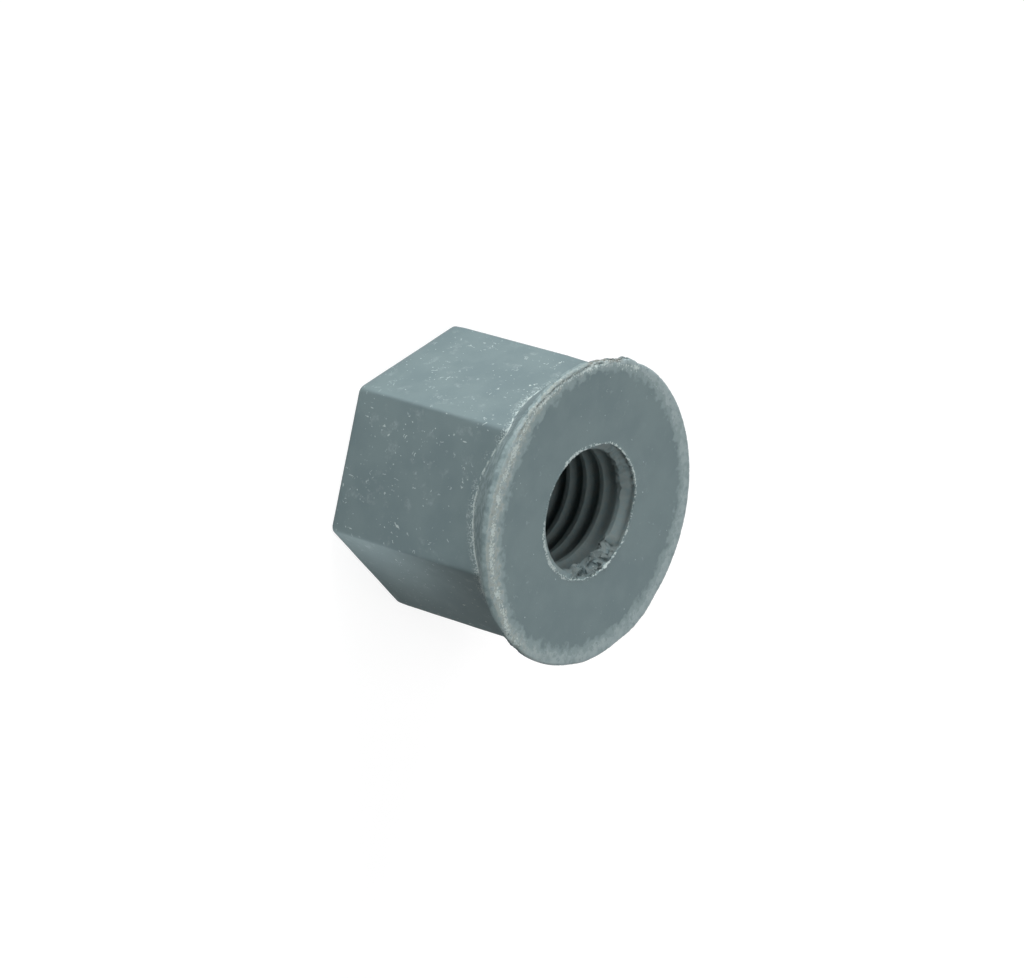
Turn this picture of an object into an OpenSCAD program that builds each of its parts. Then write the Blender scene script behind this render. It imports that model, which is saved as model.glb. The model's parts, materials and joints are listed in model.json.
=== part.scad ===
// Flange nut in one piece: a hexagon body whose flats run out into the sloping back
// of a round flange, with a straight bore at the minor diameter of its thread.
// Millimetres. The nut stands on its hexagon end with the bearing face up,
// and the bore runs along Z.

/* [Hexagon body] */
// Width across the flats, which is the spanner size
across_flats = 17; // [14:0.1:18]
// Rounding of the six long corners
corner_r = 0.4; // [0.1:0.1:1.5]
// Height from the hexagon end to the bearing face
nut_h = 14.7; // [10:0.1:28]

/* [Flange] */
// Diameter of the flange
flange_d = 21.1; // [20.2:0.1:28]
// Thickness of the straight edge of the flange
rim_t = 0.35; // [0.2:0.05:2]
// Rounding between the bearing face and the edge of the flange
rim_round_r = 0.15; // [0.05:0.05:0.4]
// Angle between the sloping back of the flange and the bore
back_angle = 38.5; // [30:0.5:60]

/* [Thread bore] */
// Minor diameter of the thread, which is the wall of the bore
thread_minor_d = 8.5; // [6:0.1:11]
// Width of the 45 degree countersink at both mouths of the bore
mouth_break = 0.35; // [0.05:0.05:0.6]

/* [Hidden] */
$fn = 96;

plastic_grey = "#707e80";

hex_apothem = across_flats / 2;
corner_centre_r = (hex_apothem - corner_r) / cos(30);

flange_r = flange_d / 2;
rim_back_z = nut_h - rim_t;
// The rounding takes at most half of the flange's edge
edge_round_r = min(rim_round_r, rim_t / 2);

// The sloping back carries on inside the hexagon, so that it meets the flats all round
foot_inset = 0.7;
foot_r = hex_apothem - foot_inset;
foot_z = rim_back_z - (flange_r - foot_r) / tan(back_angle);

bore_r = thread_minor_d / 2;
// Cuts run past the faces that they open
overshoot = 1;

function heading(angle) = [cos(angle), sin(angle)];
function corner_centre(k) = corner_centre_r * heading(60 * k);

// Hexagon with round corners, one corner on the X axis
module hexagon_outline() {
    polygon([
        for (k = [0:5])
            for (side = [-30, 30])
                corner_centre(k) + corner_r * heading(60 * k + side)
    ]);
    for (k = [0:5])
        translate(corner_centre(k))
            circle(r = corner_r);
}

// Half section of the flange: sloping back, straight edge and bearing face
module flange_section() {
    polygon([
        [0, foot_z],
        [foot_r, foot_z],
        [flange_r, rim_back_z],
        [flange_r, nut_h - edge_round_r],
        [flange_r - edge_round_r, nut_h],
        [0, nut_h]
    ]);
    translate([flange_r - edge_round_r, nut_h - edge_round_r])
        circle(r = edge_round_r);
}

// Cone that countersinks the lower mouth of the bore at 45 degrees
module mouth_cone() {
    translate([0, 0, -overshoot])
        cylinder(
            r1 = bore_r + mouth_break + overshoot,
            r2 = bore_r,
            h = mouth_break + overshoot
        );
}

// Bore right through the nut, with both mouths countersunk
module bore_cut() {
    translate([0, 0, -overshoot])
        cylinder(r = bore_r, h = nut_h + 2 * overshoot);
    mouth_cone();
    translate([0, 0, nut_h])
        mirror([0, 0, 1])
            mouth_cone();
}

module flange_nut() {
    color(plastic_grey)
        difference() {
            union() {
                linear_extrude(height = rim_back_z)
                    hexagon_outline();
                rotate_extrude()
                    flange_section();
            }
            bore_cut();
        }
}

flange_nut();
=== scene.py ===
"""Dressed model of a moulded plastic flange nut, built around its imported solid.

The nut stands on its hexagon end with the bearing face up and the bore along Z. One mesh replaces
the plain solid: the skin is a spun half section drawn out to the hexagon, and the bore carries its
real thread. Lengths are metres, written as millimetres times MM.
"""

import json
import logging
import math
from dataclasses import dataclass, field
from enum import IntEnum
from typing import Any

import bmesh
import bpy
from mathutils import Matrix, Vector, noise


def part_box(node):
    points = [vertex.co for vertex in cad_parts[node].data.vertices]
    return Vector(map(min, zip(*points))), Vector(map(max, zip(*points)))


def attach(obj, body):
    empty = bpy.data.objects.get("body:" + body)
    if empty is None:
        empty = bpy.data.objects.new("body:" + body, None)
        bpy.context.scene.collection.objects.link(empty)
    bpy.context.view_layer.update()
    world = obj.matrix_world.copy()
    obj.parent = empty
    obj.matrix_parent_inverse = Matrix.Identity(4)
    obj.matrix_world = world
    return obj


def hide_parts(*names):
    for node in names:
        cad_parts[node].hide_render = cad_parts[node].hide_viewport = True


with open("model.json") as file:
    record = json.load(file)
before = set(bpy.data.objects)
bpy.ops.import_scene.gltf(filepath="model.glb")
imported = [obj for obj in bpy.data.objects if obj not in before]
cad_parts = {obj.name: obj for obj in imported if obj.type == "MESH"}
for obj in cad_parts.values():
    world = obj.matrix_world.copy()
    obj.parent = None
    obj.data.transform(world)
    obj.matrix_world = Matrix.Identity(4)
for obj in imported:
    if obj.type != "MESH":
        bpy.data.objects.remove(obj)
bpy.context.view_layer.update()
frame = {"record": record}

LOG = logging.getLogger("flange_nut")
MM = 0.001
NODE = "flange_nut"
BODY = "root"
NOISE_SEED = 7
WHITE = "#ffffff"
# A sweep starts with an eighth of a turn, and points of it this close are one
EIGHTH = 0.125
SWEEP_WELD = 0.001 * MM
# Settings of the shader nodes that ease a value in, multiply, multiply and add, and mix colours
EASED = {"interpolation_type": "SMOOTHSTEP"}
TIMES = {"operation": "MULTIPLY"}
TIMES_PLUS = {"operation": "MULTIPLY_ADD"}
COLOURS = {"data_type": "RGBA"}
# Wear marks of a point, as a plain stretch of the nut has them
PLAIN_MARKS = {"band_mm": -2.0, "runout_mm": 3.0, "burr": 0.0, "torn": 0.0, "handled": 0.0}


def smooth_step(low: float, high: float, value: float) -> float:
    """Eases from 0 at low to 1 at high.

    Args:
        low: Value at which the step starts.
        high: Value at which the step ends.
        value: Value to place on the step.

    Returns:
        Share of the step, from 0 to 1.
    """
    share = min(1.0, max(0.0, (value - low) / (high - low)))
    return share * share * (3.0 - 2.0 * share)


def bell(value: float, width: float) -> float:
    """Gives a bell curve of height 1 round zero.

    Args:
        value: Distance from the middle of the curve.
        width: Distance at which the curve has fallen to about a third.

    Returns:
        Height of the curve.
    """
    return math.exp(-((value / width) ** 2))


def mix(first: float, second: float, share: float) -> float:
    """Goes from one value to another.

    Args:
        first: Value at a share of 0.
        second: Value at a share of 1.
        share: How far to go.

    Returns:
        The value between them.
    """
    return first + (second - first) * share


def polar(radius: float, heading: float, height: float) -> Vector:
    """Places a point by its distance from the axis.

    Args:
        radius: That distance.
        heading: Angle about Z, in radians.
        height: Height over the hexagon end.

    Returns:
        The point in the nut's frame.
    """
    return Vector((radius * math.cos(heading), radius * math.sin(heading), height))


@dataclass(frozen=True)
class Sector:
    """Stretch of the nut's circumference, in degrees about Z from +X.

    Attributes:
        start: Heading at which it starts.
        end: Heading at which it ends, above start.
        fade: Degrees over which it fades out past each end.
    """

    start: float
    end: float
    fade: float

    def share(self, heading: float) -> float:
        """Tells how far a heading lies in the stretch.

        Args:
            heading: Angle about Z, in radians.

        Returns:
            1 inside, 0 outside, and between them where the stretch fades.
        """
        middle = (self.start + self.end) / 2
        away = abs((math.degrees(heading) - middle + 180.0) % 360.0 - 180.0)
        return 1.0 - smooth_step(0.0, self.fade, away - (self.end - self.start) / 2)


# Stretches of the circumference with an amount for each
Stretches = tuple[tuple[Sector, float], ...]


def amounts(stretches: Stretches, heading: float) -> list[float]:
    """Measures what each of some stretches gives at a heading.

    Args:
        stretches: The stretches and their full amounts.
        heading: Angle about Z, in radians.

    Returns:
        Each amount, faded as its stretch is there.
    """
    return [sector.share(heading) * amount for sector, amount in stretches]


@dataclass(frozen=True)
class Grit:
    """Seeded noise of one grain size, for rough and worn stretches.

    Attributes:
        grain: Size of one lump.
        seed: Shift that sets this noise apart from the others.
        octaves: Layers of ever finer noise.
        fall: How fast the layers weaken.
        finer: How much finer each layer is than the one before.
    """

    grain: float
    seed: float
    octaves: int = 2
    fall: float = 0.6
    finer: float = 2.0

    def at(self, place: Vector) -> float:
        """Reads the noise at a place, as a level from about -1 to 1."""
        return noise.fractal(self.shifted(place), self.fall, self.finer, self.octaves)

    def push(self, place: Vector) -> Vector:
        """Reads where the noise pushes a place, as a vector of a length up to about 1."""
        return noise.turbulence_vector(self.shifted(place), self.octaves, False)

    def shifted(self, place: Vector) -> Vector:
        """Moves a place into this noise's own space, which is measured in grains."""
        return place / self.grain + Vector((self.seed, -self.seed, 2.0 * self.seed))


class Zone(IntEnum):
    """Stretches of the nut's half section, from the hexagon end round to the bore's upper mouth."""

    HEX_END = 0
    END_EDGE = 1
    FLAT = 2
    BACK = 3
    RIM = 4
    RIM_ROUND = 5
    FACE_EDGE = 6
    FACE = 7
    BURR = 8
    LIP = 9


# How far each stretch is marked by handling, which shows in specks and strokes
HANDLED = {Zone.FLAT: 1.0, Zone.BACK: 0.6, Zone.HEX_END: 0.5}
HANDLED_LITTLE = 0.2


@dataclass(frozen=True)
class NutSizes:
    """Sizes of the nut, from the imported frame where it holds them.

    Attributes:
        height: From the hexagon end to the bearing face.
        flange_r: Radius of the flange.
        flat_r: Distance from the axis to a flat.
        bore_r: Radius of the bore at the thread's crests.
        corner_r: Rounding of the long corners.
        end_corner_r: Rounding of the long corners at the hexagon end, where they are worn.
        end_corner_h: Height over which the long corners are worn.
        flange_corner_r: Rounding of the long corners where they run out into the flange.
        flange_corner_h: Depth under the flange's edge at which that rounding starts to come in.
        flange_corner_full: Depth under the flange's edge at which it is full.
        rim_t: Thickness of the flange's straight edge.
        rim_round: Rounding between the edge and the bearing face.
        back_angle: Angle between the sloping back and the axis, in degrees.
        countersink: Width of the countersink at both mouths.
        end_round: Rounding of the hexagon end's edge.
    """

    height: float
    flange_r: float
    flat_r: float
    bore_r: float
    corner_r: float = 0.25 * MM
    end_corner_r: float = 0.6 * MM
    end_corner_h: float = 0.9 * MM
    flange_corner_r: float = 0.9 * MM
    flange_corner_h: float = 3.0 * MM
    flange_corner_full: float = 1.0 * MM
    rim_t: float = 0.35 * MM
    rim_round: float = 0.15 * MM
    back_angle: float = 38.5
    countersink: float = 0.35 * MM
    end_round: float = 0.15 * MM

    @classmethod
    def from_frame(cls, record: dict[str, Any]) -> "NutSizes":
        """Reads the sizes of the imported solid.

        Args:
            record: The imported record, whose mounts give the bore and the flats.

        Returns:
            The nut's sizes.
        """
        low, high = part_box(NODE)
        mounts = {mount["name"]: mount for mount in record["mounts"]}
        return cls(
            height=high.z - low.z,
            flange_r=(high.x - low.x) / 2,
            flat_r=-mounts["spanner_flat"]["pos_m"][1],
            bore_r=mounts["thread"]["dims"]["r_mm"] * MM,
        )

    @property
    def mouth_r(self) -> float:
        """Radius of both mouths of the bore."""
        return self.bore_r + self.countersink

    @property
    def rim_back_z(self) -> float:
        """Height of the edge between the sloping back and the straight edge."""
        return self.height - self.rim_t

    def hexagon_r(self, heading: float, height: float) -> float:
        """Measures the hexagon with round corners, one of them on the X axis.

        Args:
            heading: Angle about Z, in radians.
            height: Height over the hexagon end.

        Returns:
            Distance from the axis to the hexagon's outline.
        """
        sixth = math.pi / 3
        off_corner = abs((heading + sixth / 2) % sixth - sixth / 2)
        flat = self.flat_r / math.cos(sixth / 2 - off_corner)
        corner_r = mix(self.end_corner_r, self.corner_r, smooth_step(0.0, self.end_corner_h, height))
        depth = self.rim_back_z - height
        run_out = smooth_step(self.flange_corner_h, self.flange_corner_full, depth)
        corner_r = mix(corner_r, self.flange_corner_r, run_out)
        if flat * math.sin(off_corner) >= corner_r / 2:
            return flat
        centre = (self.flat_r - corner_r) / math.cos(sixth / 2)
        across = centre * math.sin(off_corner)
        return centre * math.cos(off_corner) + math.sqrt(corner_r**2 - across**2)

    def back_z(self, radius: float) -> float:
        """Measures the height of the sloping back at a distance from the axis."""
        return self.rim_back_z - (self.flange_r - radius) / math.tan(math.radians(self.back_angle))


@dataclass(frozen=True)
class Wear:
    """Knocks and burrs that the nut carries, with their places and sizes.

    Attributes:
        knocked: Where the flange's edge took most knocks.
        rolled_edge: Where the flange's edge is rolled up beside a torn groove.
        torn_edge: Where the edge of the face is torn off.
        blunt_edge: Where the edge of the face is worn blunt.
        breakout: Where the first groove of the thread widens the mouth.
        torn_thread: Where the first turns of the thread are torn, and how badly.
        wide_burrs: Where the burr ring round the mouth is wide, and how wide as a share of the ring.
        thin_burrs: Width of the burr ring elsewhere, as a share of the ring.
        burr_fade: Width of the burrs over the width that they cover fully, at the mouth.
        bulges: Where the flange's edge stands out, and how far.
        crumb_heading: Heading of a crumb on the mouth, in radians.
        edge_w: Width of the flange's edge that takes knocks.
        knock_d: Depth of the knocks.
        calm: Share of that depth outside the knocked stretch.
        blunt_w: How far the blunt edge reaches into the face.
        blunt_h: How far it reaches down.
        blunt_calm: Share of the knocks that are rubbed off it.
        tear_w: Width of the torn edge.
        tear_d: Depth of the torn edge.
        groove_r: Radius of the torn groove.
        groove_w: Half its width.
        groove_d: Its depth.
        groove_lift: Level added to the noise that breaks the groove up.
        ridge_in: How far the rolled ridge lies inside the flange's edge.
        ridge_w: Half its width.
        ridge_h: Its height.
        ridge_lift: Level added to the noise that breaks the ridge up.
        breakout_w: How far the breakout widens the mouth.
        breakout_torn: How badly the mouth is torn at the breakout.
        ragged_w: How far the mouth's edge wanders.
        ragged_lumps: Share of the larger knocks in that, where nothing is torn.
        torn_lumps: The same where the thread is torn.
        burr_h: Height of the burrs on the mouth.
        edge_burrs: How far the knocked edge of the face is covered with burrs.
        crumb_w: Half the width of the crumb.
        crumb_h: Its height.
        uneven: Unevenness that moulding leaves in the thread.
        chunk: How far the torn thread is pushed about.
        dull_thread: How far the thread is dulled.
        swell_h: Unevenness of the flats.
        band_r: Radius at which the worn band of the face starts.
        band_shifts: Where that radius is larger or smaller, and by how much.
        rim_mm: Mark of the rolled rim, as a distance into the band in millimetres.
        film_mm: Mark of the flange's back under the blunt edge, which is rubbed a little.
        film_end: Share of the edge's rounding at which that mark starts to fade.
        lumps: Noise of the larger knocks.
        pits: Noise of the small pits.
        swell: Noise of wide unevenness.
    """

    knocked: Sector = Sector(172.0, 332.0, 14.0)
    rolled_edge: Sector = Sector(196.0, 238.0, 9.0)
    torn_edge: Sector = Sector(180.0, 197.0, 3.0)
    blunt_edge: Sector = Sector(248.0, 312.0, 16.0)
    breakout: Sector = Sector(112.0, 172.0, 20.0)
    torn_thread: Stretches = (
        (Sector(2.0, 56.0, 14.0), 1.0),
        (Sector(112.0, 160.0, 14.0), 0.3),
    )
    wide_burrs: Stretches = (
        (Sector(192.0, 228.0, 8.0), 0.9),
        (Sector(288.0, 345.0, 16.0), 0.9),
        (Sector(118.0, 176.0, 12.0), 0.55),
    )
    thin_burrs: float = 0.24
    burr_fade: float = 3.0
    bulges: Stretches = (
        (Sector(16.0, 158.0, 10.0), 0.09 * MM),
        (Sector(43.0, 51.0, 8.0), 0.13 * MM),
        (Sector(171.5, 178.0, 2.0), 0.1 * MM),
    )
    crumb_heading: float = math.radians(38.0)
    edge_w: float = 0.5 * MM
    knock_d: float = 0.1 * MM
    calm: float = 0.2
    blunt_w: float = 0.33 * MM
    blunt_h: float = 0.14 * MM
    blunt_calm: float = 0.6
    tear_w: float = 0.5 * MM
    tear_d: float = 0.1 * MM
    groove_r: float = 10.14 * MM
    groove_w: float = 0.085 * MM
    groove_d: float = 0.12 * MM
    groove_lift: float = 0.4
    ridge_in: float = 0.17 * MM
    ridge_w: float = 0.11 * MM
    ridge_h: float = 0.05 * MM
    ridge_lift: float = 0.5
    breakout_w: float = 0.18 * MM
    breakout_torn: float = 0.5
    ragged_w: float = 0.04 * MM
    ragged_lumps: float = 0.5
    torn_lumps: float = 2.0
    burr_h: float = 0.07 * MM
    edge_burrs: float = 1.0
    crumb_w: float = 0.13 * MM
    crumb_h: float = 0.14 * MM
    uneven: float = 0.018 * MM
    chunk: float = 0.36 * MM
    dull_thread: float = 0.35
    swell_h: float = 0.012 * MM
    band_r: float = 9.55 * MM
    band_shifts: Stretches = (
        (Sector(165.0, 195.0, 28.0), 0.33 * MM),
        (Sector(252.0, 296.0, 30.0), -0.52 * MM),
    )
    rim_mm: float = -0.25
    film_mm: float = -0.22
    film_end: float = 0.4
    lumps: Grit = Grit(0.55 * MM, 3.1)
    pits: Grit = Grit(0.17 * MM, 11.7)
    swell: Grit = Grit(2.6 * MM, 23.9)

    def band_start(self, heading: float) -> float:
        """Measures the radius at which the worn band of the face starts at a heading."""
        return self.band_r + sum(amounts(self.band_shifts, heading))

    def knock(self, place: Vector, heading: float) -> float:
        """Measures a knock in the flange's edge.

        Args:
            place: Point on the edge.
            heading: Its angle about Z, in radians.

        Returns:
            Depth of the knock there.
        """
        depth = self.knock_d * (max(0.0, self.lumps.at(place)) + max(0.0, self.pits.at(place)))
        depth *= mix(self.calm, 1.0, self.knocked.share(heading))
        return depth * (1.0 - self.blunt_calm * self.blunt_edge.share(heading))

    def spread(self, heading: float) -> float:
        """Measures how far the flange's edge stands out at a heading."""
        return sum(amounts(self.bulges, heading))

    def torn(self, heading: float) -> float:
        """Tells how badly the first turns of the thread are torn at a heading, from 0 to 1."""
        return max(amounts(self.torn_thread, heading))

    def ragged(self, place: Vector, heading: float) -> float:
        """Measures how far the mouth's edge wanders, which is most where the thread is torn.

        Args:
            place: Point on the mouth.
            heading: Its angle about Z, in radians.

        Returns:
            Widening of the mouth there.
        """
        broken = self.breakout.share(heading)
        torn = max(self.torn(heading), self.breakout_torn * broken)
        lumpy = mix(self.ragged_lumps, self.torn_lumps, torn)
        wander = self.pits.at(place) + lumpy * self.lumps.at(place)
        return self.ragged_w * wander + self.breakout_w * broken

    def burr_mark(self, share: float, heading: float) -> float:
        """Tells how far burrs cover a point of their ring, whose share is 1 at the mouth."""
        width = max(self.thin_burrs, *amounts(self.wide_burrs, heading))
        return smooth_step(1.0 - width, 1.0 - width / self.burr_fade, share)


@dataclass
class NutSkin:
    """Outer skin of the nut, from the lower mouth of the bore round to the upper one.

    Attributes:
        sizes: The nut's sizes.
        wear: Its knocks and burrs.
        columns: Steps of the spin round the axis.
        face_edge_w: Width of the finely divided edge of the face.
        burr_w: Width of the burr ring round the mouth.
        crest_w: Width of the raised burrs at the mouth, as a share of the ring.
        lip_t: Depth of the lip over the thread.
        rows: Steps along each stretch of the half section.
    """

    sizes: NutSizes
    wear: Wear
    columns: int = 720
    face_edge_w: float = 1.2 * MM
    burr_w: float = 0.5 * MM
    crest_w: float = 1.0 / 3.0
    lip_t: float = 0.1 * MM
    rows: dict[Zone, int] = field(
        default_factory=lambda: {
            Zone.HEX_END: 6,
            Zone.END_EDGE: 3,
            Zone.FLAT: 8,
            Zone.BACK: 9,
            Zone.RIM: 6,
            Zone.RIM_ROUND: 4,
            Zone.FACE_EDGE: 15,
            Zone.FACE: 6,
            Zone.BURR: 8,
            Zone.LIP: 3,
        }
    )

    def stations(self) -> list[tuple[Zone, float]]:
        """Lists the points of the half section, each by its zone and its share along that zone."""
        first = [(Zone.HEX_END, 0.0)]
        return first + [
            (zone, (row + 1) / count) for zone, count in self.rows.items() for row in range(count)
        ]

    def rounding(self, heading: float) -> tuple[float, float]:
        """Measures the rounding between the flange's edge and the face, which is worn blunt in part.

        Args:
            heading: Angle about Z, in radians.

        Returns:
            How far the rounding reaches into the face and how far down.
        """
        blunt = self.wear.blunt_edge.share(heading)
        rim_round = self.sizes.rim_round
        return rim_round + self.wear.blunt_w * blunt, rim_round + self.wear.blunt_h * blunt

    def form(self, zone: Zone, share: float, heading: float) -> tuple[float, float]:
        """Places a point of the half section on the nut before its edges are knocked.

        Args:
            zone: Stretch of the section.
            share: Place along that stretch, from 0 to 1.
            heading: Angle about Z, in radians.

        Returns:
            The point's radius and height.
        """
        size = self.sizes
        hexagon = size.hexagon_r(heading, size.rim_back_z)
        turn = share * math.pi / 2
        round_w, round_h = self.rounding(heading)
        face_r = size.flange_r - round_w
        face_in = size.flange_r - self.face_edge_w
        mouth = size.mouth_r
        if zone >= Zone.FACE:
            mouth += self.wear.ragged(polar(mouth, heading, 0.0), heading)
        if zone == Zone.HEX_END:
            end_r = size.hexagon_r(heading, 0.0) - size.end_round
            return mix(size.mouth_r, end_r, share), 0.0
        if zone == Zone.END_EDGE:
            height = size.end_round * (1.0 - math.cos(turn))
            inset = size.end_round * (1.0 - math.sin(turn))
            return size.hexagon_r(heading, height) - inset, height
        if zone == Zone.FLAT:
            height = mix(size.end_round, size.back_z(hexagon), share * share)
            return size.hexagon_r(heading, height), height
        if zone == Zone.BACK:
            radius = mix(hexagon, size.flange_r, share)
            return radius, size.back_z(radius)
        if zone == Zone.RIM:
            return size.flange_r, mix(size.rim_back_z, size.height - round_h, share)
        if zone == Zone.RIM_ROUND:
            return face_r + round_w * math.cos(turn), size.height - round_h * (1.0 - math.sin(turn))
        if zone == Zone.FACE_EDGE:
            return mix(face_r, face_in, share), size.height
        if zone == Zone.FACE:
            return mix(face_in, mouth + self.burr_w, share), size.height
        if zone == Zone.BURR:
            return mix(mouth + self.burr_w, mouth, share), size.height
        return mouth, size.height - self.lip_t * share

    def worn(self, zone: Zone, share: float, heading: float) -> tuple[float, float]:
        """Places a point of the half section on the worn nut.

        Args:
            zone: Stretch of the section.
            share: Place along that stretch, from 0 to 1.
            heading: Angle about Z, in radians.

        Returns:
            The point's radius and height.
        """
        radius, height = self.form(zone, share, heading)
        size, wear = self.sizes, self.wear
        place = polar(radius, heading, height)
        if zone in (Zone.FLAT, Zone.END_EDGE):
            radius += wear.swell_h * wear.swell.at(place)
        if Zone.BACK <= zone <= Zone.FACE_EDGE:
            edge = smooth_step(size.flange_r - wear.edge_w, size.flange_r, radius)
            knock = wear.knock(place, heading)
            tear = wear.tear_d * wear.torn_edge.share(heading)
            radius -= edge * (knock + tear - wear.spread(heading))
            if zone >= Zone.RIM_ROUND:
                height += self.edge_relief(place, radius, heading) - edge * knock
        if zone == Zone.BURR:
            crest = bell(1.0 - share, self.crest_w)
            crumb = bell(size.mouth_r * (heading - wear.crumb_heading), wear.crumb_w)
            height += crest * (wear.burr_h * abs(wear.pits.at(place)) + wear.crumb_h * crumb)
        return radius, height

    def edge_relief(self, place: Vector, radius: float, heading: float) -> float:
        """Measures the rolled and the torn stretch of the flange's edge.

        Args:
            place: Point on the face before the wear.
            radius: Its worn distance from the axis.
            heading: Its angle about Z, in radians.

        Returns:
            Height that the wear adds there.
        """
        size, wear = self.sizes, self.wear
        lump, pit = wear.lumps.at(place), wear.pits.at(place)
        rolled, torn = wear.rolled_edge.share(heading), wear.torn_edge.share(heading)
        groove = rolled * bell(radius - wear.groove_r - wear.groove_w * (lump + pit), wear.groove_w)
        ridge = rolled * bell(radius - size.flange_r + wear.ridge_in, wear.ridge_w)
        tear = torn * smooth_step(size.flange_r - wear.tear_w, size.flange_r, radius)
        sunk = wear.groove_d * groove * max(0.0, pit + lump + wear.groove_lift)
        sunk += wear.tear_d * tear * (1.0 + lump + pit)
        return wear.ridge_h * ridge * (wear.ridge_lift + lump + pit) - sunk

    def build(self, mesh: bmesh.types.BMesh) -> tuple[list[Any], list[Any]]:
        """Spins the half section and draws it out to the worn nut.

        Args:
            mesh: Mesh that takes the skin. It has the wear layers.

        Returns:
            The edges of the lower mouth and those of the upper one.
        """
        row_layer = mesh.verts.layers.int.new("row")
        stations = self.stations()
        section = []
        for row, (zone, share) in enumerate(stations):
            radius, height = self.form(zone, share, math.pi / 2)
            vertex = mesh.verts.new((radius, 0.0, height))
            vertex[row_layer] = row
            section.append(vertex)
        skin = sweep(mesh, section, self.columns)
        layers = mesh.verts.layers.float
        for vertex in skin:
            zone, share = stations[vertex[row_layer]]
            heading = math.atan2(vertex.co.y, vertex.co.x)
            radius, height = self.worn(zone, share, heading)
            vertex.co = polar(radius, heading, height)
            for name, value in self.marks(vertex.co, zone, share, heading).items():
                vertex[layers[name]] = value
        mouths = []
        for row in (0, len(stations) - 1):
            level = {v for v in skin if v[row_layer] == row}
            mouths.append([e for e in mesh.edges if level.issuperset(e.verts)])
        mesh.verts.layers.int.remove(row_layer)
        return mouths[0], mouths[1]

    def marks(self, place: Vector, zone: Zone, share: float, heading: float) -> dict[str, float]:
        """Gives a point's wear marks, which the finish reads, in millimetres or shares.

        Args:
            place: The worn point.
            zone: Its stretch of the half section.
            share: Its place along that stretch, from 0 to 1.
            heading: Its angle about Z, in radians.

        Returns:
            The value of each mark.
        """
        size, wear = self.sizes, self.wear
        radius = math.hypot(place.x, place.y)
        hexagon = size.hexagon_r(heading, size.rim_back_z)
        marks = dict(PLAIN_MARKS, handled=HANDLED.get(zone, HANDLED_LITTLE))
        blunt, rolled = wear.blunt_edge.share(heading), wear.rolled_edge.share(heading)
        if zone >= Zone.RIM_ROUND:
            marks["band_mm"] = (radius - wear.band_start(heading)) / MM
        elif zone == Zone.RIM:
            marks["band_mm"] = mix(PLAIN_MARKS["band_mm"], wear.rim_mm, rolled)
        if Zone.BACK <= zone <= Zone.RIM_ROUND:
            fade = smooth_step(wear.film_end, 1.0, share) if zone == Zone.RIM_ROUND else 0.0
            film = blunt * (1.0 - fade)
            marks["band_mm"] = mix(marks["band_mm"], wear.film_mm, film)
        if zone == Zone.FLAT:
            marks["runout_mm"] = (size.back_z(hexagon) - place.z) / MM
        elif zone == Zone.BACK:
            marks["runout_mm"] = (hexagon - radius) / MM
        if zone >= Zone.BURR:
            marks["burr"] = wear.burr_mark(share if zone == Zone.BURR else 1.0, heading)
        elif zone in (Zone.RIM_ROUND, Zone.FACE_EDGE):
            inside = size.flange_r - self.rounding(heading)[0] - radius
            edge = bell(inside - wear.edge_w / 2, wear.edge_w)
            marks["burr"] = wear.edge_burrs * edge * wear.knocked.share(heading)
        if Zone.RIM <= zone <= Zone.FACE_EDGE:
            torn = smooth_step(size.flange_r - wear.tear_w, size.flange_r - wear.tear_d, radius)
            marks["torn"] = torn * wear.torn_edge.share(heading)
        return marks


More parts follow.
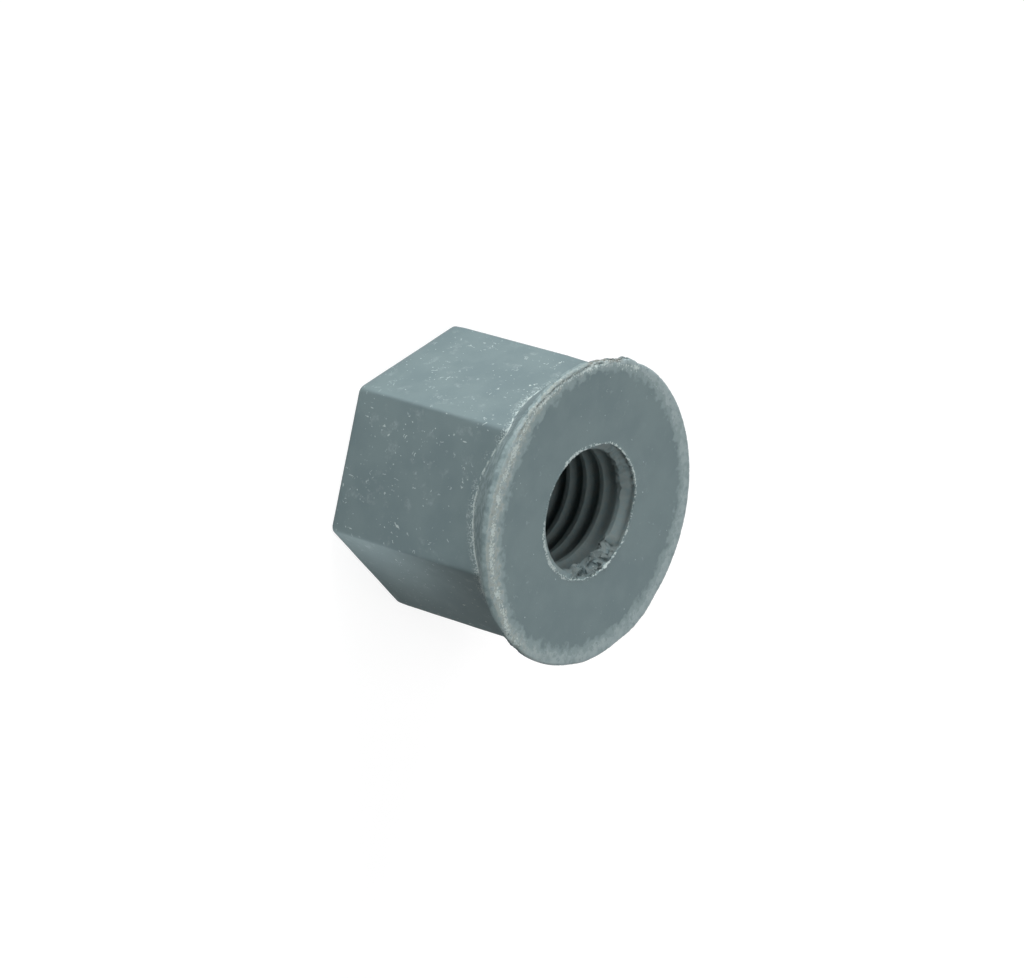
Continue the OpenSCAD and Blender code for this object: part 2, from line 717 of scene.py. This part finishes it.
@dataclass
class BoreThread:
    """Right-hand thread of the bore, as one helical sweep between the two mouths.

    Attributes:
        sizes: The nut's sizes.
        wear: Its knocks and burrs.
        pitch: Rise of the thread in a turn.
        depth: Depth of a groove.
        crest: Width of a crest, as a share of the pitch.
        root: Width of a groove's root, as a share of the pitch.
        edge_break: Width of the worn edges of a crest.
        crest_depth: Depth of the first crest's upper edge under the face on the +Y side.
        torn_depth: Depth under the face down to which the thread is torn.
        torn_full: Depth under the face down to which it is torn fully.
        torn_burrs: How far torn thread is covered with burrs.
        pit_part: How many times weaker than the knocks the pits are.
        columns: Steps of the sweep in a turn.
        on_column: Distance from a column, as a share of a step, at which a point lies on it.
        reach: Depth under each end at which the thread starts.
        weld: Distance under which two points are one.
    """

    sizes: NutSizes
    wear: Wear
    pitch: float = 1.5 * MM
    depth: float = 0.7 * MM
    crest: float = 0.25
    root: float = 0.15
    edge_break: float = 0.035 * MM
    crest_depth: float = 0.91 * MM
    torn_depth: float = 2.2 * MM
    torn_full: float = 1.1 * MM
    torn_burrs: float = 0.5
    pit_part: float = 3.0
    columns: int = 360
    on_column: float = 0.01
    reach: float = 0.2 * MM
    weld: float = 0.0002 * MM

    def profile(self) -> list[tuple[float, float]]:
        """Draws one pitch of the thread, from the lower edge of a crest up to the next one.

        Returns:
            Rise in pitches and depth in groove depths of each point.
        """
        flank = (1.0 - self.crest - self.root) / 2
        worn, sunk = self.edge_break / self.pitch, self.edge_break / self.depth
        corners = (
            (-self.crest, sunk, 1),
            (worn - self.crest, 0.0, 2),
            (-worn, 0.0, 1),
            (0.0, sunk, 3),
            (flank, 1.0, 2),
            (flank + self.root, 1.0, 3),
            (1.0 - self.crest, sunk, 0),
        )
        points = []
        for (rise, depth, steps), (next_rise, next_depth, _) in zip(corners, corners[1:]):
            for step in range(steps):
                share = step / steps
                points.append((mix(rise, next_rise, share), mix(depth, next_depth, share)))
        return points

    def build(self, mesh: bmesh.types.BMesh) -> tuple[list[Any], list[Any]]:
        """Sweeps the thread, trims it to its reach and roughens it.

        Args:
            mesh: Mesh that takes the thread.

        Returns:
            The edges of the thread's lower end and those of its upper end.
        """
        older = set(mesh.verts)
        quarter_rise = self.pitch / 4
        first_z = self.sizes.height - self.crest_depth - quarter_rise
        turns_below = math.ceil(first_z / self.pitch) + 1
        turns_above = 2
        section = []
        for turn in range(-turns_below, turns_above):
            for rise, depth in self.profile():
                radius = self.sizes.bore_r + depth * self.depth
                section.append(mesh.verts.new((radius, 0.0, first_z + (turn + rise) * self.pitch)))
        sweep(mesh, section, self.columns, self.pitch)
        ends = []
        for height, outwards in ((self.reach, -1.0), (self.sizes.height - self.reach, 1.0)):
            ends.append(self.trim(mesh, older, height, outwards))
        layers = mesh.verts.layers.float
        for vertex in mesh.verts:
            if vertex not in older:
                marks = dict(PLAIN_MARKS, burr=self.roughen(vertex), torn=self.wear.dull_thread)
                for name, value in marks.items():
                    vertex[layers[name]] = value
        return ends[0], ends[1]

    def trim(
        self, mesh: bmesh.types.BMesh, older: set[Any], height: float, outwards: float
    ) -> list[Any]:
        """Cuts the sweep off level and leaves one point for each column on the cut.

        Args:
            mesh: Mesh that holds the sweep.
            older: Points that aren't the sweep's.
            height: Height of the cut.
            outwards: 1 to take off what lies above the cut, -1 for what lies below.

        Returns:
            The edges of the cut.
        """
        verts = [v for v in mesh.verts if v not in older]
        edges = list(dict.fromkeys(e for v in verts for e in v.link_edges))
        faces = list(dict.fromkeys(f for v in verts for f in v.link_faces))
        bmesh.ops.bisect_plane(
            mesh,
            geom=verts + edges + faces,
            dist=self.weld / 2,
            plane_co=(0.0, 0.0, height),
            plane_no=(0.0, 0.0, outwards),
            clear_outer=True,
        )
        level = [v for v in mesh.verts if v not in older and abs(v.co.z - height) < self.weld]
        targets = {}
        for vertex in level:
            column = math.atan2(vertex.co.y, vertex.co.x) * self.columns / (2.0 * math.pi)
            if abs(column - round(column)) > self.on_column:
                others = [e.other_vert(vertex) for e in vertex.link_edges]
                others = [o for o in others if abs(o.co.z - height) < self.weld]
                targets[vertex] = min(others, key=lambda o: (o.co - vertex.co).length)
        bmesh.ops.weld_verts(mesh, targetmap=targets)
        kept = {v for v in mesh.verts if v not in older and abs(v.co.z - height) < self.weld}
        return [e for e in mesh.edges if all(v in kept for v in e.verts) and len(e.link_faces) == 1]

    def roughen(self, vertex: Any) -> float:
        """Gives a point its moulded unevenness, and more where the first turns are torn.

        Args:
            vertex: Point of the thread.

        Returns:
            How far the point is covered with burrs, from 0 to 1.
        """
        place = vertex.co.copy()
        heading = math.atan2(place.y, place.x)
        top = self.sizes.height - place.z
        torn = smooth_step(self.torn_depth, self.torn_full, top) * self.wear.torn(heading)
        lump, pit = self.wear.lumps.push(place), self.wear.pits.push(place)
        vertex.co += mix(self.wear.uneven, self.wear.chunk, torn) * (lump + pit / self.pit_part)
        return torn * self.torn_burrs


@dataclass(frozen=True)
class Grain:
    """Patches of noise in a finish.

    Attributes:
        size_mm: Size of one patch.
        seed: Shift that sets this noise apart from the others.
        low: Level of the noise at which a patch starts.
        high: Level at which it is full.
        detail: Layers of ever finer noise.
    """

    size_mm: float
    seed: float
    low: float = 0.0
    high: float = 1.0
    detail: float = 2.0


@dataclass(frozen=True)
class Fleck:
    """Small marks scattered over a finish.

    Attributes:
        cell_mm: Distance between the places that may hold a mark.
        stretch: Length of a mark along Z over its width.
        radius: Radius of a mark, as a share of that distance.
        share: Share of the places that hold a mark where marks crowd.
        seed: Shift that sets these marks apart from the others.
    """

    cell_mm: float
    stretch: float
    radius: float
    share: float
    seed: float


@dataclass(frozen=True)
class MouldedPlastic:
    """Glass-filled polyamide, moulded matt and scuffed by handling.

    It is a cool mid grey with a dull, slightly mottled skin. Rubbed edges turn pale and warmer, burrs
    and specks of torn plastic nearly white.

    Attributes:
        deep: Darker grey of the mottled skin.
        pale: Lighter grey of the mottled skin.
        worn: Grey of the rubbed band.
        worn_pale: Lighter grey in the rubbed band.
        worn_warm: Warmer grey in the rubbed band.
        torn: Dull grey of torn plastic.
        scuff: Near white of burrs, specks and scratches.
        scuff_cover: How far the near white hides the grey under it.
        roughness: Roughness of the skin.
        ior: Index of refraction.
        gloss: Share of the skin that reflects, 0.5 being a clean one.
        fray_mm: How far the inner edge of the band wanders.
        fringe_mm: Width of the half-rubbed fringe inside the band.
        rub_start: Where the band starts to be rubbed fully, in widths of the fringe.
        rub_end: Where it is rubbed fully.
        warm_side: Distance towards -Y over which the band turns warmer.
        pit_cover: How dark the pits in the band are.
        line_mm: Half the width of the scuffed line where the flats run out.
        dust_mm: Width of the dusty strip along that line.
        smear_cover: How far smears hide the grey under them.
        crumb_part: Share of fine crumbs in the burrs.
        patch_part: Share of wider patches in the burrs.
        burr_start: Sum of burr mark, crumbs and patches at which a burr starts.
        burr_full: Sum at which it is full.
        curl_level: Level of their noise that the curled strokes follow.
        curl_w: Width of the curled strokes, as a share of their noise.
        bend: How far specks and strokes are bent out of shape.
        relief_mm: Height of the skin's fine relief.
        relief_cover: How strongly that relief shows.
        band_relief: How much rougher the rubbed band is.
        grains: Noise patches by their use.
        flecks: Specks and strokes.
    """

    deep: str = "#657578"
    pale: str = "#6b7b7d"
    worn: str = "#7d8d8e"
    worn_pale: str = "#8f9d9f"
    worn_warm: str = "#8f9894"
    torn: str = "#7b7d78"
    scuff: str = "#b4c0be"
    scuff_cover: float = 0.8
    roughness: float = 0.7
    ior: float = 1.5
    gloss: float = 0.2
    fray_mm: float = 0.7
    fringe_mm: float = 0.45
    rub_start: float = 0.25
    rub_end: float = 0.75
    warm_side: float = 8.0 * MM
    pit_cover: float = 0.5
    line_mm: float = 0.1
    dust_mm: float = 0.75
    smear_cover: float = 0.35
    crumb_part: float = 0.7
    patch_part: float = 0.5
    burr_start: float = 1.45
    burr_full: float = 1.75
    curl_level: float = 0.5
    curl_w: float = 0.05
    bend: float = 0.12 * MM
    relief_mm: float = 0.012
    relief_cover: float = 0.5
    band_relief: float = 4.0
    grains: dict[str, Grain] = field(
        default_factory=lambda: {
            "mottle": Grain(2.4, 1.0, 0.35, 0.65, 3.0),
            "fray": Grain(0.5, 2.0, 0.25, 0.75, 5.0),
            "blotch": Grain(0.6, 3.0, 0.28, 0.6, 4.0),
            "pits": Grain(0.26, 4.0, 0.54, 0.7, 4.0),
            "shreds": Grain(0.3, 5.0, 0.36, 0.6, 4.0),
            "wander": Grain(0.7, 6.0),
            "breaks": Grain(0.45, 7.0, 0.4, 0.58, 4.0),
            "dust": Grain(0.11, 8.0, 0.49, 0.6, 3.0),
            "drift": Grain(1.3, 9.0, 0.36, 0.52),
            "crowd": Grain(2.2, 10.0, 0.32, 0.62),
            "smear": Grain(1.0, 11.0, 0.56, 0.76, 4.0),
            "crumbs": Grain(0.14, 12.0, 0.25, 0.75, 3.0),
            "patches": Grain(0.8, 13.0, 0.25, 0.75),
            "fine": Grain(0.1, 14.0),
            "grit": Grain(0.2, 15.0, 0.0, 1.0, 4.0),
            "curls": Grain(0.4, 19.0, detail=1.0),
            "locks": Grain(0.45, 20.0, 0.63, 0.72, 1.0),
        }
    )
    flecks: tuple[Fleck, ...] = (
        Fleck(0.26, 1.0, 0.22, 0.7, 16.0),
        Fleck(0.3, 4.5, 0.17, 0.6, 17.0),
        Fleck(1.1, 6.0, 0.045, 0.8, 18.0),
    )

    def material(self) -> bpy.types.Material:
        """Makes the node material.

        Returns:
            The material.
        """
        made = bpy.data.materials.new("moulded_matt_polyamide")
        tree = empty_tree(made)
        place = add_node(tree, "ShaderNodeTexCoord").outputs["Object"]
        layers = {}
        for name in PLAIN_MARKS:
            layers[name] = add_node(tree, "ShaderNodeAttribute", attribute_name=name).outputs["Fac"]
        for name, grain in self.grains.items():
            inputs = {"Vector": place, "W": grain.seed, "Detail": grain.detail}
            inputs["Scale"] = 1.0 / (grain.size_mm * MM)
            level = add_node(tree, "ShaderNodeTexNoise", inputs, noise_dimensions="4D")
            layers[name] = add_node(
                tree, "ShaderNodeMapRange", {0: level, 1: grain.low, 2: grain.high}, **EASED
            )
        self.add_band(tree, place, layers)
        self.add_pale_marks(tree, place, layers)
        pale = add_node(tree, "ShaderNodeMath", {0: layers["pale"], 1: self.scuff_cover}, **TIMES)
        inputs = {0: pale, 6: layers["ground"], 7: linear(self.scuff)}
        colour = add_node(tree, "ShaderNodeMix", inputs, **COLOURS)
        # A fine matt grain all over, and a coarser one where the band is rubbed
        rougher = add_node(tree, "ShaderNodeMath", {0: layers["band"], 1: self.band_relief}, **TIMES)
        inputs = {0: layers["grit"], 1: rougher, 2: layers["fine"]}
        relief = add_node(tree, "ShaderNodeMath", inputs, **TIMES_PLUS)
        inputs = {"Strength": self.relief_cover, "Distance": self.relief_mm * MM, "Height": relief}
        bump = add_node(tree, "ShaderNodeBump", inputs)
        inputs = {
            "Base Color": colour,
            "Roughness": self.roughness,
            "IOR": self.ior,
            "Specular IOR Level": self.gloss,
            "Normal": bump,
        }
        shader = add_node(tree, "ShaderNodeBsdfPrincipled", inputs)
        add_node(tree, "ShaderNodeOutputMaterial", {"Surface": shader})
        return made

    def add_band(
        self, tree: bpy.types.NodeTree, place: bpy.types.NodeSocket, layers: dict[str, Any]
    ) -> None:
        """Adds the mottled skin with the band that is rubbed pale, pitted and torn.

        Args:
            tree: Tree that takes the nodes.
            place: Place on the nut.
            layers: Layers by name. The ground colour and the band's cover are added to them.
        """
        inputs = {0: layers["fray"], 1: self.fray_mm, 2: layers["band_mm"]}
        reach = add_node(tree, "ShaderNodeMath", inputs, **TIMES_PLUS)
        middle = self.fray_mm / 2
        inputs = {0: reach, 1: middle - self.fringe_mm, 2: middle}
        fringe = add_node(tree, "ShaderNodeMapRange", inputs, **EASED)
        start, end = (middle + self.fringe_mm * part for part in (self.rub_start, self.rub_end))
        band = add_node(tree, "ShaderNodeMapRange", {0: reach, 1: start, 2: end}, **EASED)
        # Rubbed plastic: pale blotches, warmer towards the knocked side, with dark pits
        across = add_node(tree, "ShaderNodeSeparateXYZ", {0: place}).outputs["Y"]
        side = add_node(tree, "ShaderNodeMapRange", {0: across, 1: 0.0, 2: -self.warm_side}, **EASED)
        warm = add_node(tree, "ShaderNodeMath", {0: side, 1: layers["shreds"]}, **TIMES)
        pits = add_node(tree, "ShaderNodeMath", {0: layers["pits"], 1: self.pit_cover}, **TIMES)
        rubbed = linear(self.worn)
        coats = ((layers["blotch"], self.worn_pale), (warm, self.worn_warm), (pits, self.deep))
        for cover, colour in coats:
            inputs = {0: cover, 6: rubbed, 7: linear(colour)}
            rubbed = add_node(tree, "ShaderNodeMix", inputs, **COLOURS)
        # The mottled skin, with the fringe, the rubbed band and torn plastic over it
        torn = add_node(tree, "ShaderNodeMath", {0: layers["torn"], 1: layers["shreds"]}, **TIMES)
        ground = linear(self.deep)
        for cover, coat in (
            (layers["mottle"], linear(self.pale)),
            (fringe, linear(self.worn)),
            (band, rubbed),
            (torn, linear(self.torn)),
        ):
            ground = add_node(tree, "ShaderNodeMix", {0: cover, 6: ground, 7: coat}, **COLOURS)
        layers["ground"] = ground
        layers["band"] = band

    def add_pale_marks(
        self, tree: bpy.types.NodeTree, place: bpy.types.NodeSocket, layers: dict[str, Any]
    ) -> None:
        """Adds the near white marks: the scuffed run-out, dust, specks, strokes, smears and burrs.

        Args:
            tree: Tree that takes the nodes.
            place: Place on the nut.
            layers: Layers by name. The cover of the pale marks is added to them.
        """
        inputs = {0: layers["wander"], 1: 2.0 * self.line_mm, 2: layers["runout_mm"]}
        off_line = add_node(tree, "ShaderNodeMath", inputs, **TIMES_PLUS)
        inputs = {0: off_line, 1: self.line_mm, 2: self.line_mm}
        on_line = add_node(tree, "ShaderNodeMath", inputs, operation="COMPARE")
        away = add_node(tree, "ShaderNodeMath", {0: layers["runout_mm"]}, operation="ABSOLUTE")
        near = add_node(tree, "ShaderNodeMapRange", {0: away, 1: self.dust_mm, 2: 0.0}, **EASED)
        inputs = {0: layers["curls"], 1: self.curl_level, 2: self.curl_w}
        curl = add_node(tree, "ShaderNodeMath", inputs, operation="COMPARE")
        handled = layers["handled"]
        crowd = add_node(tree, "ShaderNodeMath", {0: layers["crowd"], 1: handled}, **TIMES)
        # The broken line of the run-out, dust on the flats along it, smears of rubbed-on dust on the
        # handled sides, and curled strokes, which are short lengths of a level line of noise
        marks = []
        for mark, *factors in (
            (on_line, layers["breaks"]),
            (near, layers["drift"], layers["dust"]),
            (layers["smear"], layers["crumbs"], handled, self.smear_cover),
            (curl, layers["locks"], crowd),
        ):
            for factor in factors:
                mark = add_node(tree, "ShaderNodeMath", {0: mark, 1: factor}, **TIMES)
            marks.append(mark)
        # Burrs of torn plastic, broken up into crumbs and patches
        burr = layers["burr"]
        for name, part in (("crumbs", self.crumb_part), ("patches", self.patch_part)):
            inputs = {0: layers[name], 1: part, 2: burr}
            burr = add_node(tree, "ShaderNodeMath", inputs, **TIMES_PLUS)
        inputs = {0: burr, 1: self.burr_start, 2: self.burr_full}
        pale = add_node(tree, "ShaderNodeMapRange", inputs, **EASED)
        # Specks and strokes, which crowd in places
        bend = add_node(tree, "ShaderNodeMath", {0: layers["shreds"], 1: self.bend}, **TIMES)
        for fleck in self.flecks:
            inputs = {0: place, 1: (1.0, 1.0, 1.0 / fleck.stretch), 2: bend}
            drawn = add_node(tree, "ShaderNodeVectorMath", inputs, **TIMES_PLUS)
            inputs = {"Vector": drawn, "W": fleck.seed, "Scale": 1.0 / (fleck.cell_mm * MM)}
            cells = add_node(tree, "ShaderNodeTexVoronoi", inputs, voronoi_dimensions="4D")
            inputs = {0: cells, 1: fleck.radius, 2: fleck.radius / 2}
            spot = add_node(tree, "ShaderNodeMapRange", inputs, **EASED)
            pick = add_node(tree, "ShaderNodeSeparateColor", {0: cells.outputs["Color"]})
            share = add_node(tree, "ShaderNodeMath", {0: crowd, 1: fleck.share}, **TIMES)
            inputs = {0: share, 1: pick}
            chosen = add_node(tree, "ShaderNodeMath", inputs, operation="GREATER_THAN")
            marks.append(add_node(tree, "ShaderNodeMath", {0: spot, 1: chosen}, **TIMES))
        for mark in marks:
            pale = add_node(tree, "ShaderNodeMath", {0: pale, 1: mark}, operation="MAXIMUM")
        layers["pale"] = pale


@dataclass
class FlangeNut:
    """The whole nut: skin and thread joined into one closed mesh.

    Attributes:
        skin: Outer skin.
        thread: Thread of the bore.
        finish: Its plastic.
        crease: Angle above which an edge stays sharp, in degrees.
    """

    skin: NutSkin
    thread: BoreThread
    finish: MouldedPlastic = MouldedPlastic()
    crease: float = 33.0

    def build(self) -> bpy.types.Object:
        """Builds the closed mesh and links it to the scene.

        Returns:
            The nut's object.
        """
        mesh = bmesh.new()
        for name in PLAIN_MARKS:
            mesh.verts.layers.float.new(name)
        skin_low, skin_high = self.skin.build(mesh)
        thread_low, thread_high = self.thread.build(mesh)
        for rims in (skin_low + thread_low, skin_high + thread_high):
            bmesh.ops.bridge_loops(mesh, edges=rims)
        bmesh.ops.recalc_face_normals(mesh, faces=mesh.faces[:])
        for face in mesh.faces:
            face.smooth = True
        data = bpy.data.meshes.new("dressed_nut")
        mesh.to_mesh(data)
        mesh.free()
        data.set_sharp_from_angle(angle=math.radians(self.crease))
        return add_object("dressed_nut", data)

    def dress(self, made: bpy.types.Object) -> None:
        """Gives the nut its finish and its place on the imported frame.

        Args:
            made: The nut's object.
        """
        made.data.materials.append(self.finish.material())
        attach(made, BODY)
        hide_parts(NODE)


@dataclass(frozen=True)
class Sun:
    """Wide, even light from one side.

    Attributes:
        level: Brightness of a white surface that faces it.
        heading: Where it comes from, about Z from +X, in degrees.
        rise: Its height over the horizon, in degrees.
        spread: Angle that it fills in the sky, in degrees.
    """

    level: float
    heading: float
    rise: float
    spread: float

    def build(self, name: str) -> None:
        """Builds the light.

        Args:
            name: Name of the light.
        """
        data = bpy.data.lights.new(name, "SUN")
        data.energy = self.level * math.pi
        data.angle = math.radians(self.spread)
        away, up = math.radians(self.heading), math.radians(self.rise)
        towards = Vector((math.cos(away) * math.cos(up), math.sin(away) * math.cos(up), math.sin(up)))
        add_object(name, data).rotation_euler = towards.to_track_quat("Z", "Y").to_euler()


@dataclass(frozen=True)
class Spot:
    """Soft-edged spot of light on one part of the nut.

    Attributes:
        power: Power of the lamp, in watts.
        place: Where it stands, in millimetres.
        aim: Where it points, in millimetres.
        cone: Angle of its cone, in degrees.
        size: Radius of the lamp.
    """

    power: float
    place: tuple[float, float, float]
    aim: tuple[float, float, float]
    cone: float
    size: float

    def build(self, name: str) -> None:
        """Builds the light.

        Args:
            name: Name of the light.
        """
        data = bpy.data.lights.new(name, "SPOT")
        data.energy = self.power
        data.shadow_soft_size = self.size
        data.spot_size = math.radians(self.cone)
        data.spot_blend = 1.0
        light = add_object(name, data)
        light.location = Vector(self.place) * MM
        towards = Vector(self.place) - Vector(self.aim)
        light.rotation_euler = towards.to_track_quat("Z", "Y").to_euler()
        light.visible_camera = False


@dataclass(frozen=True)
class Paper:
    """White paper that the nut stands on. For the light that it bounces, it is painted grey towards
    +X: a painted shade, so it bounces less light on the nut's shaded side.

    Attributes:
        lit: Bounce on the lit side.
        dim: Bounce on the shaded side, a painted shade.
        lit_x: Where the bounce starts to fall, along X.
        dim_x: Where it has fallen.
        seen: Grey that takes the shadow for the eye.
        glow: White added to that grey, which makes the open paper white.
        size: Half the width of the sheet.
    """

    lit: str = "#f2f2f2"
    dim: str = "#5a5a5a"
    lit_x: float = -20.0 * MM
    dim_x: float = 11.0 * MM
    seen: str = "#8c8c8c"
    glow: float = 0.82
    size: float = 2.0

    def material(self) -> bpy.types.Material:
        """Makes the node material.

        Returns:
            The material.
        """
        made = bpy.data.materials.new("matt_white_paper")
        tree = empty_tree(made)
        place = add_node(tree, "ShaderNodeTexCoord").outputs["Object"]
        # For light only, the paper is painted grey towards +X: painted shade on the side of the nut
        # that faces it
        along = add_node(tree, "ShaderNodeSeparateXYZ", {0: place}).outputs["X"]
        inputs = {0: along, 1: self.lit_x, 2: self.dim_x}
        shaded = add_node(tree, "ShaderNodeMapRange", inputs, **EASED)
        inputs = {0: shaded, 6: linear(self.lit), 7: linear(self.dim)}
        bounce = add_node(tree, "ShaderNodeMix", inputs, **COLOURS)
        bounced = add_node(tree, "ShaderNodeBsdfDiffuse", {"Color": bounce})
        # The eye sees white paper with the nut's soft shadow on it
        shade = add_node(tree, "ShaderNodeBsdfDiffuse", {"Color": linear(self.seen)})
        glow = add_node(tree, "ShaderNodeEmission", {"Color": linear(WHITE), "Strength": self.glow})
        white = add_node(tree, "ShaderNodeAddShader", {0: shade, 1: glow})
        surface = add_node(tree, "ShaderNodeMixShader", {0: seen_ray(tree), 1: bounced, 2: white})
        add_node(tree, "ShaderNodeOutputMaterial", {"Surface": surface})
        return made

    def build(self) -> None:
        """Builds the sheet."""
        mesh = bmesh.new()
        bmesh.ops.create_grid(mesh, x_segments=1, y_segments=1, size=self.size)
        data = bpy.data.meshes.new("floor")
        mesh.to_mesh(data)
        mesh.free()
        floor = add_object("floor", data)
        data.materials.append(self.material())


@dataclass
class Studio:
    """Paper, light and camera.

    Attributes:
        aim: Point that the camera looks at, in millimetres.
        distance: From that point to the camera.
        azimuth: Heading of the view from +Y towards +X, in degrees.
        elevation: Height of the camera over the horizon, in degrees.
        roll: Turn of the camera about its view, in degrees.
        lens: Focal length on the sensor, in millimetres.
        sensor: Width of the sensor, in millimetres.
        clip: Nearest distance that the camera sees.
        sky: Level of the light from all round.
        paper: Sheet under the nut.
        lights: The lamps by name.
    """

    aim: tuple[float, float, float] = (0.07, 0.57, 7.36)
    distance: float = 303.2 * MM
    azimuth: float = 7.953
    elevation: float = 38.397
    roll: float = 106.47
    lens: float = 157.32
    sensor: float = 36.0
    clip: float = 10.0 * MM
    sky: float = 0.11
    paper: Paper = Paper()
    lights: dict[str, Sun | Spot] = field(
        default_factory=lambda: {
            "key_light": Sun(1.1, 187.0, 11.0, 40.0),
            "front_light": Sun(0.62, 245.0, 7.0, 28.0),
            "back_light": Sun(0.45, 68.0, 12.0, 60.0),
            "bore_light": Sun(0.37, 255.0, 79.0, 44.0),
            "side_light": Sun(0.09, 330.0, 12.0, 60.0),
            "side_spot": Spot(2.9, (260.0, -8.0, 20.0), (4.0, -10.2, 2.2), 3.4, 4.0 * MM),
        }
    )

    def build(self) -> None:
        """Builds the camera, the lights, the world and the paper."""
        self.add_camera()
        for name, light in self.lights.items():
            light.build(name)
        self.add_world()
        self.paper.build()
        bpy.context.scene.view_settings.view_transform = "Standard"

    def add_camera(self) -> None:
        """Adds the camera at the photograph's viewing angle."""
        heading, rise = math.radians(self.azimuth), math.radians(self.elevation)
        ahead = Vector(
            (math.sin(heading) * math.cos(rise), math.cos(heading) * math.cos(rise), -math.sin(rise))
        )
        upright = ahead.to_track_quat("-Z", "Y").to_matrix().to_4x4()
        data = bpy.data.cameras.new("camera")
        data.sensor_width = self.sensor
        data.lens = self.lens
        data.clip_start = self.clip
        camera = add_object("camera", data)
        place = Matrix.Translation(Vector(self.aim) * MM - ahead * self.distance)
        camera.matrix_world = place @ upright @ Matrix.Rotation(math.radians(self.roll), 4, "Z")
        bpy.context.scene.camera = camera

    def add_world(self) -> None:
        """Adds an even grey sky, which the camera and reflections see as white."""
        world = bpy.data.worlds.new("studio")
        tree = empty_tree(world)
        inputs = {0: seen_ray(tree), 2: self.sky, 3: 1.0}
        level = add_node(tree, "ShaderNodeMix", inputs, data_type="FLOAT")
        inputs = {"Strength": level, "Color": linear(WHITE)}
        sky = add_node(tree, "ShaderNodeBackground", inputs)
        add_node(tree, "ShaderNodeOutputWorld", {"Surface": sky})
        bpy.context.scene.world = world


def sweep(
    mesh: bmesh.types.BMesh, section: list[Any], columns: int, rise: float = 0.0
) -> list[Any]:
    """Takes a section once round Z: it spins an eighth and copies that on round the turn.

    Args:
        mesh: Mesh that holds the section.
        section: The section's points in order.
        columns: Steps in a turn, a multiple of eight.
        rise: Climb along Z in a turn, for a helix.

    Returns:
        All points of the sweep.
    """
    older = set(mesh.verts).difference(section)
    edges = [mesh.edges.new(pair) for pair in zip(section, section[1:])]
    share = EIGHTH
    bmesh.ops.spin(
        mesh,
        geom=section + edges,
        cent=(0.0, 0.0, 0.0),
        axis=(0.0, 0.0, 1.0),
        dvec=(0.0, 0.0, rise / columns),
        angle=2.0 * math.pi * share,
        steps=round(columns * share),
    )
    swept = [v for v in mesh.verts if v not in older]
    while share < 1.0:
        faces = list(dict.fromkeys(f for v in swept for f in v.link_faces))
        made = bmesh.ops.duplicate(mesh, geom=faces)["geom"]
        copies = [part for part in made if isinstance(part, bmesh.types.BMVert)]
        turn = Matrix.Rotation(2.0 * math.pi * share, 3, "Z")
        bmesh.ops.rotate(mesh, verts=copies, cent=(0.0, 0.0, 0.0), matrix=turn)
        bmesh.ops.translate(mesh, verts=copies, vec=(0.0, 0.0, rise * share))
        swept += copies
        share *= 2.0
    bmesh.ops.remove_doubles(mesh, verts=swept, dist=SWEEP_WELD)
    return [v for v in mesh.verts if v not in older]


def add_object(name: str, data: bpy.types.ID) -> bpy.types.Object:
    """Adds an object to the scene, at the origin.

    Args:
        name: The object's name.
        data: Its mesh, light or camera.

    Returns:
        The object.
    """
    made = bpy.data.objects.new(name, data)
    bpy.context.scene.collection.objects.link(made)
    return made


def linear(code: str) -> tuple[float, float, float, float]:
    """Turns an sRGB hex colour to linear light.

    Args:
        code: Colour as #rrggbb.

    Returns:
        Red, green, blue and an alpha of 1.
    """
    channels = [int(code[k : k + 2], 16) / 255.0 for k in (1, 3, 5)]
    red, green, blue = [
        c / 12.92 if c <= 0.04045 else ((c + 0.055) / 1.055) ** 2.4 for c in channels
    ]
    return red, green, blue, 1.0


def empty_tree(owner: bpy.types.ID) -> bpy.types.NodeTree:
    """Gives a material or a world an empty node tree.

    Args:
        owner: The material or the world.

    Returns:
        The tree.
    """
    owner.use_nodes = True
    owner.node_tree.nodes.clear()
    return owner.node_tree


def add_node(
    tree: bpy.types.NodeTree, kind: str, inputs: dict[Any, Any] | None = None, **settings: Any
) -> bpy.types.Node:
    """Adds a node with its settings, values and links.

    Args:
        tree: Tree that takes the node.
        kind: The node's type.
        inputs: Value, output or node for each input, by name or number. A node gives its first output
            in use.
        settings: The node's own settings.

    Returns:
        The node.
    """
    made = tree.nodes.new(kind)
    for name, value in settings.items():
        setattr(made, name, value)
    for key, value in (inputs or {}).items():
        if isinstance(value, bpy.types.Node):
            value = next(output for output in value.outputs if output.enabled)
        if isinstance(value, bpy.types.NodeSocket):
            tree.links.new(value, made.inputs[key])
        else:
            made.inputs[key].default_value = value
    return made


def seen_ray(tree: bpy.types.NodeTree) -> bpy.types.NodeSocket:
    """Tells rays that the eye follows, straight or in a reflection, from those that only light.

    Args:
        tree: Tree that takes the nodes.

    Returns:
        1 for camera, glossy and transmission rays, and 0 for others.
    """
    path = add_node(tree, "ShaderNodeLightPath")
    glossy, through = path.outputs["Is Glossy Ray"], path.outputs["Is Transmission Ray"]
    mirrored = add_node(tree, "ShaderNodeMath", {0: glossy, 1: through}, operation="MAXIMUM")
    inputs = {0: path.outputs["Is Camera Ray"], 1: mirrored}
    return add_node(tree, "ShaderNodeMath", inputs, operation="MAXIMUM").outputs[0]


def main() -> None:
    """Builds the studio and the nut, and logs the nut's face count."""
    logging.basicConfig(level=logging.INFO)
    noise.seed_set(NOISE_SEED)
    Studio().build()
    sizes = NutSizes.from_frame(frame["record"])
    wear = Wear()
    nut = FlangeNut(NutSkin(sizes, wear), BoreThread(sizes, wear))
    made = nut.build()
    nut.dress(made)
    LOG.info("%s: %d faces", made.name, len(made.data.polygons))


if __name__ == "__main__":
    main()
